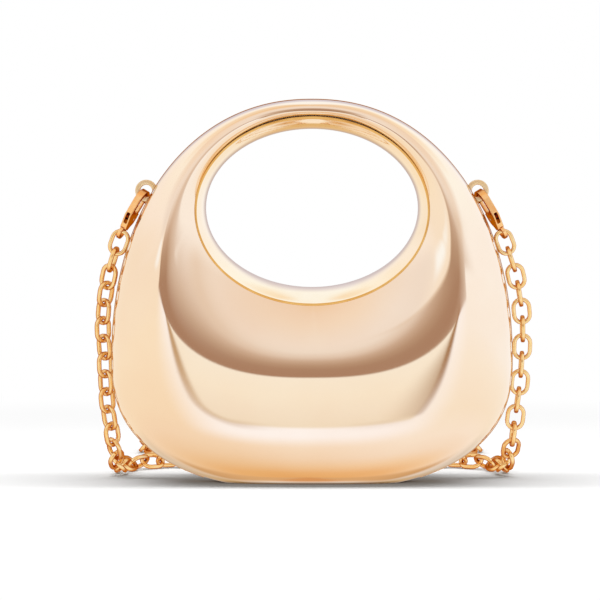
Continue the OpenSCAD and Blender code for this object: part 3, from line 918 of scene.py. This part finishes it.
@dataclass
class Eyelet:
    """A flat lug with an eye, riveted to the back rim.

    Attributes:
        side: Left or right.
        finishes: The bag's finishes.
        radius: Outer radius.
        eye: Radius of the eye.
        tongue: Width and length of the tongue.
        tongue_clear: Gap between the tongue and the eye.
        tongue_sunk: How far the tongue's faces lie under the ring's.
        round_over: Radius of the rounded edges.
        steps: Segments round the eye.
    """

    side: Side
    finishes: Finishes
    radius: float = 5.5 * MM
    eye: float = 3.0 * MM
    tongue: tuple[float, float] = (7 * MM, 12.4 * MM)
    tongue_clear: float = 0.8 * MM
    tongue_sunk: float = 0.02 * MM
    round_over: float = 0.35 * MM
    steps: int = 64

    def build(self) -> Piece:
        """Builds and dresses the eyelet."""
        bm = self._washer()
        a = FORM.eyelet_angle()
        eye, out = FORM.outset(a, FORM.eyelet_out), FORM.normal(a)
        turn = Matrix.Rotation(-math.atan2(out.y, out.x), 4, "Y")
        ops.transform(bm, matrix=Matrix.Translation((eye.x, 0, eye.y)) @ turn, verts=bm.verts)
        ops.scale(bm, vec=(self.side.value, 1, 1), verts=bm.verts)
        name = self.side.name.lower()
        piece = to_piece(f"{name}_eyelet_lug", bm, 40.0)
        self.finishes.dress(piece, Finishes.EYELET)
        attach(piece, "back_half")
        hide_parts(f"{name}_eyelet")
        return piece

    def _washer(self) -> BMesh:
        """The ring, spun from its rounded section, with the tongue behind it."""
        near, far = FORM.rim_face, FORM.rim_face + FORM.eyelet_thick
        rounded = {"offset": self.round_over, "profile": 0.5, "material": -1}
        bm = bmesh.new()
        ops.create_grid(bm, x_segments=1, y_segments=1, size=0.5)
        for v in bm.verts:
            v.co = Vector((mix(self.eye, self.radius, v.co.x + 0.5), mix(near, far, v.co.y + 0.5), 0))
        ops.bevel(bm, geom=bm.verts[:], segments=4, affect="VERTICES", **rounded)
        ops.delete(bm, geom=bm.faces[:], context="FACES_ONLY")
        ops.spin(bm, geom=bm.edges[:] + bm.verts[:], cent=(0, 0, 0), axis=(0, 1, 0), angle=math.tau,
                 steps=self.steps, use_merge=True)
        width, length = self.tongue
        tongue = box_mesh(Vector((-length, near + self.tongue_sunk, -width / 2)),
                          Vector((-self.eye - self.tongue_clear, far - self.tongue_sunk, width / 2)))
        ops.bevel(tongue, geom=tongue.edges[:], segments=3, affect="EDGES", **rounded)
        mesh = to_mesh(tongue, bpy.data.meshes.new("tongue"))
        bm.from_mesh(mesh)
        bpy.data.meshes.remove(mesh)
        return bm


@dataclass
class Casting:
    """A cast piece with softened edges, made from a CAD node's own form.

    Attributes:
        node: The CAD node that it stands for.
        body: The CAD body that it rides on.
        slot: The record's slot. Not used.
        finish: Its finish.
        finishes: The bag's finishes.
        grain: Size of the remeshed faces.
        passes: Passes of smoothing.
        strength: Strength of each pass.
    """

    node: str
    body: str
    slot: str
    finish: Finish
    finishes: Finishes
    grain: float = 0.17 * MM
    passes: int = 8
    strength: float = 0.5

    def build(self) -> Piece:
        """Builds and dresses the casting."""
        bm = bmesh.new()
        bm.from_mesh(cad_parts[self.node].data)
        piece = to_piece(f"{self.node}_cast", bm)
        remesh = piece.modifiers.new("grain", "REMESH")
        remesh.mode, remesh.voxel_size, remesh.use_smooth_shade = "VOXEL", self.grain, True
        soften = piece.modifiers.new("soften", "SMOOTH")
        soften.factor, soften.iterations = self.strength, self.passes
        settled(piece)
        self.finishes.dress(piece, self.finish)
        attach(piece, self.body)
        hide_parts(self.node)
        return piece


@dataclass
class Chain:
    """The strap: flat-sided oval links on one route, from clasp to clasp round the back.

    Attributes:
        finishes: The bag's finishes.
        link_length: Outside length of a link.
        link_width: Outside width of a link.
        wire: Thickness of a link's wire.
        pitch: Distance from link to link.
        lie: Height of the route where the chain lies down.
        left_hang: The left stretch: out from the clasp's ring, back from the parting plane, and share of
            the ring's height.
        right_hang: The right stretch, the same way.
        half_loop: The loose loop's half on the floor, as X and Y.
        lie_turn: Turn of every link where the chain lies down, in degrees.
        left_twist: Links over which the left side turns to it.
        right_flat: Links at the right end that don't turn.
        right_twist: Links over which the right side turns to it.
        sides: Sides of a link's wire.
        bend_steps: Segments of each of a link's bends.
        square: Squareness of the wire, rounder towards 1.
        sharp: Angle past which a link's edges stay sharp, in degrees.
        knot_steps: Points of the route for each point that is given.
    """

    finishes: Finishes
    link_length: float = 13.8 * MM
    link_width: float = 10 * MM
    wire: float = 2.1 * MM
    pitch: float = 9 * MM
    lie: float = 4.1 * MM
    left_hang: tuple = (
        (1.3, 2.4, 0.958), (4.4, 2.8, 0.888), (6.9, 4.2, 0.812), (8.5, 6, 0.74), (9.6, 7, 0.668),
        (9.8, 7.6, 0.598), (9.1, 8.2, 0.525), (8.8, 8.8, 0.453), (8.6, 9.6, 0.381), (7.9, 10.6, 0.309),
        (6.8, 12, 0.237), (5.5, 15, 0.164), (4.8, 20.5, 0.101), (4.1, 28, 0.056), (3.1, 36.5, 0.036),
    )
    right_hang: tuple = (
        (1.3, 2.4, 0.959), (4.6, 2.8, 0.889), (7.3, 4.2, 0.812), (9.1, 6, 0.74), (10.3, 7, 0.668),
        (10.7, 7.6, 0.598), (10.5, 8.2, 0.525), (10.1, 8.8, 0.453), (9.4, 9.6, 0.381), (8.3, 10.6, 0.309),
        (7.3, 12, 0.237), (6.3, 15, 0.164), (5.5, 20.5, 0.101), (4.3, 28, 0.056), (3.1, 36.5, 0.036),
    )
    half_loop: tuple = (
        (96.8, 46), (93, 55), (86.5, 62.5), (77, 67.2), (66, 69), (53, 69), (40, 69), (25, 73), (14, 84),
        (10, 99), (14, 114), (25, 125), (40, 129), (51, 129), (62, 129), (77, 133), (88, 144), (92, 159),
        (88, 174), (77, 185), (62, 189), (47, 189), (31, 189), (15.5, 189),
    )
    lie_turn: float = 45.0
    left_twist: int = 3
    right_flat: int = 15
    right_twist: int = 5
    sides: int = 12
    bend_steps: int = 9
    square: float = 0.62
    sharp: float = 38.0
    knot_steps: int = 6

    def _route(self) -> list[Vector]:
        """Returns the points of the route, close together."""
        ring = FORM.ring()

        def half(sense: int, hang: tuple) -> list[Vector]:
            """Returns a side's points, from the clasp to the end of the loop."""
            points = [(ring.x + out * MM, back * MM, ring.z * high) for out, back, high in hang]
            points += [(x * MM, y * MM, self.lie) for x, y in self.half_loop]
            return [Vector((sense * x, y, z)) for x, y, z in points]

        knots = half(-1, self.left_hang) + half(1, self.right_hang)[::-1]
        held = [knots[0]] + knots + [knots[-1]]
        line = []
        for p0, p1, p2, p3 in zip(held, held[1:], held[2:], held[3:]):
            for t in (k / self.knot_steps for k in range(self.knot_steps)):
                line.append((2 * p1 + (p2 - p0) * t + (2 * p0 - 5 * p1 + 4 * p2 - p3) * t * t
                             + (3 * p1 - p0 - 3 * p2 + p3) * t * t * t) / 2)
        return line + [knots[-1]]

    def _link(self) -> bpy.types.Mesh:
        """One link about the origin, long in X and flat in Z: a squared wire spun round both ends."""
        bm = bmesh.new()
        half_wire, straight = self.wire / 2, self.link_length - self.link_width
        axis = (self.link_width - self.wire) / 2
        ops.create_circle(bm, segments=self.sides, radius=half_wire)
        for v in bm.verts:
            across, up = (curve_pow(c / half_wire, self.square) * half_wire for c in v.co.xy)
            v.co = Vector((straight / 2, axis + across, up))

        def bend(start: list, middle: float) -> list[bmesh.types.BMEdge]:
            """Spins a section half round a point on the link's axis, and returns its last edges."""
            done = ops.spin(bm, geom=start, cent=(middle, 0, 0), axis=(0, 0, -1), angle=math.pi,
                            steps=self.bend_steps)
            return [e for e in done["geom_last"] if isinstance(e, bmesh.types.BMEdge)]

        loop = bend(bm.verts[:] + bm.edges[:], straight / 2)
        grown = ops.extrude_edge_only(bm, edges=loop)["geom"]
        ends = [v for v in grown if isinstance(v, bmesh.types.BMVert)]
        ops.translate(bm, vec=(-straight, 0, 0), verts=ends)
        edges = [e for e in grown if isinstance(e, bmesh.types.BMEdge) and all(v in ends for v in e.verts)]
        loop = bend(ends + edges, -straight / 2)
        first = [e for e in bm.edges if e.is_boundary and all(v.co.y > 0 and v.co.x > 0 for v in e.verts)]
        ops.bridge_loops(bm, edges=loop + first)
        ops.remove_doubles(bm, verts=bm.verts, dist=MERGE)
        ops.recalc_face_normals(bm, faces=bm.faces)
        return to_mesh(bm, bpy.data.meshes.new("link"))

    def _stations(self, line: list[Vector]) -> tuple[int, float, Callable[[float], Vector]]:
        """Spaces the links out.

        Args:
            line: The route.

        Returns:
            How many links there are, the step between them, and the point at a length along the route.
        """
        lengths = [0.0]
        for p, q in zip(line, line[1:]):
            lengths.append(lengths[-1] + (q - p).length)
        total = lengths[-1]
        count = 2 * round(total / self.pitch / 2) + 1

        def at(s: float) -> Vector:
            """Returns the point at a length along the route."""
            s = max(0.0, min(total, s))
            i = max(1, min(len(lengths) - 1, bisect_left(lengths, s)))
            return mix(line[i - 1], line[i], (s - lengths[i - 1]) / (lengths[i] - lengths[i - 1]))

        return count, total / (count - 1), at

    def build(self) -> Piece:
        line = self._route()
        count, step, at = self._stations(line)
        link = self._link()
        bm = bmesh.new()
        for i in range(count):
            here = at(i * step)
            ahead = (at(i * step + step / 2) - at(i * step - step / 2)).normalized()
            lift = Vector((0, abs(ahead.z), 1 - abs(ahead.z)))
            face = (lift - lift.dot(ahead) * ahead).normalized()
            beside = face.cross(ahead)
            turn = 90 * i + self.lie_turn * ease(i / self.left_twist) * ease(
                (count - 1 - self.right_flat - i) / self.right_twist + 1)
            place = Matrix.Translation(here) @ Matrix((ahead, beside, face)).transposed().to_4x4()
            before = len(bm.verts)
            bm.from_mesh(link)
            bm.verts.ensure_lookup_table()
            place @= Matrix.Rotation(math.radians(turn), 4, "X")
            ops.transform(bm, matrix=place, verts=bm.verts[before:])
        bpy.data.meshes.remove(link)
        piece = to_piece("chain_strap", bm, self.sharp, weld=0.0)
        self.finishes.dress(piece, Finishes.CHAIN)
        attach(piece, "back_half")
        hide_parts("left_chain", "left_chain_slack", "right_chain_slack", "right_chain")
        ring = FORM.ring()
        [tuple(p) for p in line]
        return piece


# --- studio ---


class MirroredRoom:
    """The plain studio that polished metal mirrors, painted by direction.

    A direction is an azimuth from the front, positive to the right, and an elevation, both in degrees.
    A pair of limits goes from where a thing is not yet seen to where it is wholly seen.
    """

    RIGHT = (-25, 25)
    CEILING_HEIGHT = (12, 20)
    CEILING_ASIDE = (56, 38)
    CEILING_RIGHT = 0.5
    SHADE_EDGE = -33.0
    SHADE_SOFT = 3.0
    SHADE_REACH = 70.0
    SHADE_FADE = 0.65
    SHADE_SLOPE = -0.25
    SHADE_LESS_SLOPE = 0.10
    SHADE_FOOT = (-4.6, -2.4)
    SHADE_TOP = (28, 18)
    CUT_TURN = (24, 31)
    CUT_HEIGHT = (9.5, 6)
    STREAK = (-25, -11, 6)
    STREAK_HEIGHT = (8.2, 15, 1.5)
    STREAK_SHARE = 0.75
    PANEL_HALF = 17.0
    PANEL_MIDDLE = -27.0
    PANEL_RISE = 30.0
    PANEL_FOOT = -37.0
    PANEL_ROUND = 8.5
    PANEL_EDGE = (-0.6, 1.2)
    GLOW_HEIGHT = (-51, -41)
    GLOW_TOP = (8, 0)
    GLOW_ASIDE = (34, 8)
    SEAM = (3, 0.4)
    SEAM_ASIDE = (1, 10)
    SEAM_FOOT = (3, 0.5)
    SEAM_FULL = (-44, -8)
    SEAM_LEAST = 0.4
    SEAM_TOP = (4, 1.5)
    LOW_ASIDE = (112, 140)
    LOW_HEIGHT = (-52, -62)
    BEHIND = (156, 172)

    def __init__(self, n: Nodes, metal: Screen) -> None:
        """Sets up the direction.

        Args:
            n: Maker of the world's nodes.
            metal: Colour of the metal in which the room's colours are to be seen as written.
        """
        self.n, self.metal = n, linear(*metal)
        x, y, z = n.add("SeparateXYZ", {0: n.out("TexCoord", which="Generated")}).outputs
        self.height = n.maths("DEGREES", n.maths("ARCSINE", z))
        self.turn = n.maths("DEGREES", n.maths("ARCTAN2", x, n.times(y, -1.0)))
        self.aside = n.maths("ABSOLUTE", self.turn)
        self.right = n.step(self.turn, *self.RIGHT)

    def seen(self, red: int, green: int, blue: int) -> Colour:
        """Returns the light that makes the metal look so."""
        r, g, b = (c / m for c, m in zip(linear(red, green, blue), self.metal))
        return r, g, b

    def by_height(self, *stops: tuple[int, int, int, int]) -> Socket:
        """Returns a colour that runs with the elevation, from elevations and seen colours, lowest first."""
        share = self.n.maths("DIVIDE", self.n.maths("ADD", self.height, 90.0), 180.0)
        return self.n.ramp(share, [((el + 90) / 180, self.seen(*tone)) for el, *tone in stops])

    def up(self, low: float, high: float) -> Socket:
        """Returns 0 to 1, softly, as the elevation goes from low to high. High may be the lesser."""
        return self.n.step(self.height, low, high)

    def out(self, low: float, high: float) -> Socket:
        """Returns the same for how far the direction is from straight in front."""
        return self.n.step(self.aside, low, high)

    def within(self, value: Socket, low: float, high: float, soft: float) -> Socket:
        """Returns 1 where the value is between two limits, and 0 outside, with soft edges."""
        return self.n.times(self.n.step(value, low - soft, low + soft),
                            self.n.step(value, high + soft, high - soft))

    def walls(self) -> Socket:
        """Returns the colour of the room's sides, peach on the left and paler on the right."""
        left = self.by_height(
            (-90, 230, 168, 102), (-80, 233, 175, 112), (-70, 237, 191, 141), (-60, 241, 203, 162),
            (-50, 245, 212, 176), (-36, 248, 219, 183), (-7, 250, 225, 192), (10, 248, 224, 196),
            (22, 252, 232, 211), (45, 254, 238, 215), (60, 249, 220, 184), (72, 243, 209, 170),
        )
        right = self.by_height(
            (-90, 232, 172, 106), (-80, 237, 181, 122), (-70, 244, 204, 160), (-60, 247, 220, 192),
            (-50, 250, 228, 204), (-36, 249, 227, 199), (-18, 251, 232, 208), (-5, 252, 237, 220),
            (13, 253, 238, 222), (40, 255, 244, 226), (60, 250, 222, 186), (72, 243, 209, 170),
        )
        return self.n.blend(self.right, left, right)

    def ceiling(self, colour: Socket) -> Socket:
        """Returns a colour with the front of the ceiling laid over it, dimmer on the right."""
        n = self.n
        tone = self.by_height(
            (15, 240, 218, 196), (22, 241, 220, 200), (28, 243, 222, 202), (35, 244, 221, 198),
            (45, 245, 217, 188), (55, 243, 209, 176), (64, 240, 198, 148),
        )
        tone = n.blend(n.times(self.right, self.CEILING_RIGHT), tone, self.seen(238, 208, 180))
        return n.blend(n.times(self.up(*self.CEILING_HEIGHT), self.out(*self.CEILING_ASIDE)), colour, tone)

    def shade(self, colour: Socket) -> Socket:
        """Returns a colour with the dim zone in front over it.

        The zone has a sharp left edge, which leans to the right as it rises, with a bright streak beside it
        and a golden tone on it. It fades to the right, and its foot rises to the sides.
        """
        n = self.n
        dim = self.by_height(
            (-4, 168, 124, 95), (5, 172, 130, 100), (9, 184, 145, 114), (13, 202, 166, 137),
            (17, 226, 198, 173), (22, 238, 216, 194), (28, 242, 221, 200),
        )
        past = n.maths("SUBTRACT", n.maths("SUBTRACT", self.turn, self.height), self.SHADE_EDGE)
        away = n.maths("MAXIMUM", n.maths("DIVIDE", self.turn, self.SHADE_REACH), 0.0)
        fade = n.maths("POWER", away, self.SHADE_FADE)
        slope = n.maths("MULTIPLY_ADD", self.right, self.SHADE_LESS_SLOPE, self.SHADE_SLOPE)
        low = n.maths("MULTIPLY_ADD", self.aside, slope, self.height)
        over = n.times(n.step(low, *self.SHADE_FOOT), self.up(*self.SHADE_TOP))
        cut = n.times(n.step(self.turn, *self.CUT_TURN), self.up(*self.CUT_HEIGHT))
        there = n.times(n.step(past, -self.SHADE_SOFT, self.SHADE_SOFT), n.step(fade, 1.0, 0.0), n.rest(cut))
        streak = n.times(self.within(past, *self.STREAK), self.within(self.height, *self.STREAK_HEIGHT),
                         over, self.STREAK_SHARE)
        colour = n.blend(streak, colour, self.seen(255, 252, 244))
        colour = n.blend(n.times(there, over), colour, dim)
        return n.blend(n.times(there, n.rest(there), over), colour, self.seen(210, 166, 122))

    def panel(self, colour: Socket) -> Socket:
        """Returns a colour with the pale arched panel below the dim zone, its seam and the glow under it.

        The panel's lower left corner is round, and the seam is left out in its middle and at its right foot.
        """
        n = self.n
        glow = n.times(self.up(*self.GLOW_HEIGHT), self.out(*self.GLOW_ASIDE), self.up(*self.GLOW_TOP))
        colour = n.blend(glow, colour, self.seen(255, 243, 234))
        share = n.maths("DIVIDE", n.maths("SUBTRACT", self.height, self.PANEL_MIDDLE), self.PANEL_RISE)
        arch = n.maths("MAXIMUM", n.rest(n.times(share, share)), 0.0)
        half = n.times(n.maths("SQRT", arch), self.PANEL_HALF)
        rise = n.maths("SUBTRACT", self.height, self.PANEL_FOOT)
        round_by = n.maths("MULTIPLY_ADD", self.right, -self.PANEL_ROUND, self.PANEL_ROUND + 0.5)
        across, down = (
            n.maths("MAXIMUM", n.maths("SUBTRACT", round_by, inward), 0.0)
            for inward in (n.maths("SUBTRACT", half, self.aside), rise)
        )
        corner = n.maths("SQRT", n.maths("MULTIPLY_ADD", across, across, n.times(down, down)))
        inside = n.maths("SUBTRACT", round_by, corner)
        tone = self.by_height((-37, 241, 219, 189), (-30, 245, 223, 195), (-20, 249, 229, 201),
                              (-5, 249, 231, 206))
        colour = n.blend(n.step(inside, *self.PANEL_EDGE), colour, tone)
        strength = n.maths("MULTIPLY_ADD", self.up(*self.SEAM_FULL), 1 - self.SEAM_LEAST, self.SEAM_LEAST)
        seam = n.times(n.step(n.maths("ABSOLUTE", inside), *self.SEAM), self.out(*self.SEAM_ASIDE),
                       n.rest(n.times(self.right, n.step(rise, *self.SEAM_FOOT))), strength,
                       self.up(*self.SEAM_TOP))
        return n.blend(seam, colour, n.blend(self.right, self.seen(196, 154, 108), self.seen(160, 112, 70)))

    def behind(self, colour: Socket) -> Socket:
        """Returns a colour with the dimmer room behind the bag, seen where the polish turns away."""
        n = self.n
        tone = self.by_height(
            (-80, 216, 150, 92), (-72, 252, 234, 212), (-60, 255, 228, 198), (-53, 222, 176, 112),
            (-35, 229, 184, 128), (-12, 200, 170, 146), (15, 210, 190, 182), (30, 232, 216, 208),
            (42, 253, 243, 228),
        )
        low = n.times(self.out(*self.LOW_ASIDE), self.up(*self.LOW_HEIGHT))
        return n.blend(self.out(*self.BEHIND), n.blend(low, colour, self.seen(218, 166, 112)), tone)

    def paint(self) -> Socket:
        """Returns the room's whole colour."""
        return self.behind(self.shade(self.panel(self.ceiling(self.walls()))))


@dataclass
class Studio:
    """Floor, soft light, the room that the polish mirrors, and the camera.

    Attributes:
        reach: Distance of the camera from the parting plane.
        eye: Height of the camera.
        aim: X and Z of the middle of the picture on the parting plane.
        field: Width of the picture on the parting plane.
        film: Width of the camera's film, in millimetres.
        floor_half: Half the width of the floor.
        lit_floor: Distances at which the floor starts to be plain white, and is wholly so.
        lamp_size: Length and depth of the lamp.
        lamp_place: Where the lamp hangs.
        lamp_power: The lamp's power, in watts.
        soft_light: Strength of the light from all round.
    """

    reach: float = 1.4
    eye: float = 0.144
    aim: tuple[float, float] = (-0.006, 0.091)
    field: float = 0.300
    film: float = 36.0
    floor_half: float = 6.0
    lit_floor: tuple[float, float] = (0.3, 0.6)
    lamp_size: tuple[float, float] = (3.0, 0.30)
    lamp_place: tuple[float, float, float] = (0, -0.08, 1.2)
    lamp_power: float = 22.0
    soft_light: float = 0.30

    WHITE = (1.0, 1.0, 1.0)
    FLOOR_TONES = ((0.97, 0.97, 0.97), (0.98, 0.98, 0.98))

    def camera(self) -> None:
        """Places the camera."""
        data = bpy.data.cameras.new("camera")
        camera = shown("camera", data)
        bpy.context.scene.camera = camera
        camera.location = (self.aim[0], -self.reach, self.eye)
        along = Vector((self.aim[0], 0, self.aim[1])) - camera.location
        camera.rotation_euler = along.to_track_quat("-Z", "Y").to_euler()
        data.sensor_width = self.film
        data.lens = self.film * self.reach / self.field
        data.clip_start, data.clip_end = 0.01, 50.0

    def floor(self) -> None:
        """Lays the pale floor. The polish mirrors the room's own lower part in its place."""
        bm = bmesh.new()
        ops.create_grid(bm, x_segments=8, y_segments=8, size=self.floor_half)
        floor = to_piece("floor", bm)
        material, n, shader = new_material("pale_floor")
        place = n.place()
        tone = n.blend(n.noise(place, 3.0, 2.0), *self.FLOOR_TONES)
        n.feed(shader, {"Base Color": tone, "Roughness": 0.9, "Specular IOR Level": 0.0})
        away = n.out("VectorMath", {0: place}, "Value", operation="LENGTH")
        plain = n.times(n.step(away, *self.lit_floor), n.out("LightPath", which="Is Camera Ray"))
        white = n.out("Emission", {0: self.WHITE, 1: 1.0})
        both = n.out("MixShader", {0: plain, 1: shader.outputs[0], 2: white})
        n.feed(n.tree.nodes["Material Output"], {0: both})
        floor.data.materials.append(material)
        floor.visible_glossy = False

    def lamps(self) -> None:
        """Hangs one long soft lamp over the bag, for the shadow under it."""
        data = bpy.data.lights.new("overhead_strip", "AREA")
        data.shape, data.energy = "RECTANGLE", self.lamp_power
        data.size, data.size_y = self.lamp_size
        lamp = shown("overhead_strip", data)
        lamp.location = self.lamp_place
        lamp.visible_glossy = False

    def room(self) -> None:
        """Lights the scene from all round, and gives polished metal a plain studio to mirror."""
        world = bpy.data.worlds.new("studio")
        bpy.context.scene.world = world
        world.use_nodes = True
        world.node_tree.nodes.clear()
        n = Nodes(world.node_tree)
        colour = MirroredRoom(n, Finishes.SHELL.colour).paint()
        soft, white, mirrored = (
            n.out("Background", {0: tone, 1: strength})
            for tone, strength in ((self.WHITE, self.soft_light), (self.WHITE, 1.0), (colour, 1.0))
        )
        path = n.add("LightPath").outputs
        plain = n.out("MixShader", {0: path["Is Camera Ray"], 1: soft, 2: white})
        first = n.times(path["Is Glossy Ray"], n.maths("LESS_THAN", path["Diffuse Depth"], 0.5))
        n.add("OutputWorld", {0: n.out("MixShader", {0: first, 1: plain, 2: mirrored})})

    def build(self) -> None:
        """Builds the studio. The camera is made apart, first."""
        self.floor()
        self.lamps()
        self.room()
        bpy.context.scene.view_settings.view_transform = "Standard"


# --- the whole ---


def dress_carried(finishes: Finishes) -> None:
    """Dresses the CAD nodes whose own shapes stay."""
    carried = {
        Finishes.RIM: ("front_rim", "back_rim"),
        Finishes.HINGE: ("front_hinge_leaf", "back_hinge_leaf", "hinge_pin", "eyelet_rivets",
                         "left_trigger_rivet", "right_trigger_rivet"),
        Finishes.STEEL: ("front_hinge_screws", "back_hinge_screws", "left_trigger_spring",
                         "right_trigger_spring"),
        Finishes.MAGNET: ("front_magnets", "back_magnets"),
    }
    for finish, nodes in carried.items():
        for node in nodes:
            finishes.dress(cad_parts[node], finish)
            LOG.info("carried %s", node)


def report(pieces: Iterable[Piece]) -> None:
    """Logs each piece with its size in millimetres."""
    for piece in pieces:
        size = ", ".join(f"{s / MM:.1f}" for s in piece.dimensions)
        LOG.info("%s: %d faces, %s mm", piece.name, len(piece.data.polygons), size)


def main() -> None:
    """Builds the bag and its studio."""
    logging.basicConfig(level=logging.INFO, format="%(message)s", stream=sys.stdout)
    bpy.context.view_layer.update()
    studio = Studio()
    studio.camera()
    finishes = Finishes()
    report([Chain(finishes).build()])
    for half in Half:
        report(Clamshell(half, finishes).build())
    for side in Side:
        name = side.name.lower()
        report([
            Eyelet(side, finishes).build(),
            Casting(f"{name}_clasp", "back_half", "clasp", Finishes.CLASP, finishes).build(),
            Casting(f"{name}_trigger", f"{name}_trigger", "clasp", Finishes.CLASP, finishes,
                    grain=0.12 * MM, passes=5).build(),
        ])
    dress_carried(finishes)
    studio.build()
    bpy.context.view_layer.update()


if __name__ == "__main__":
    main()
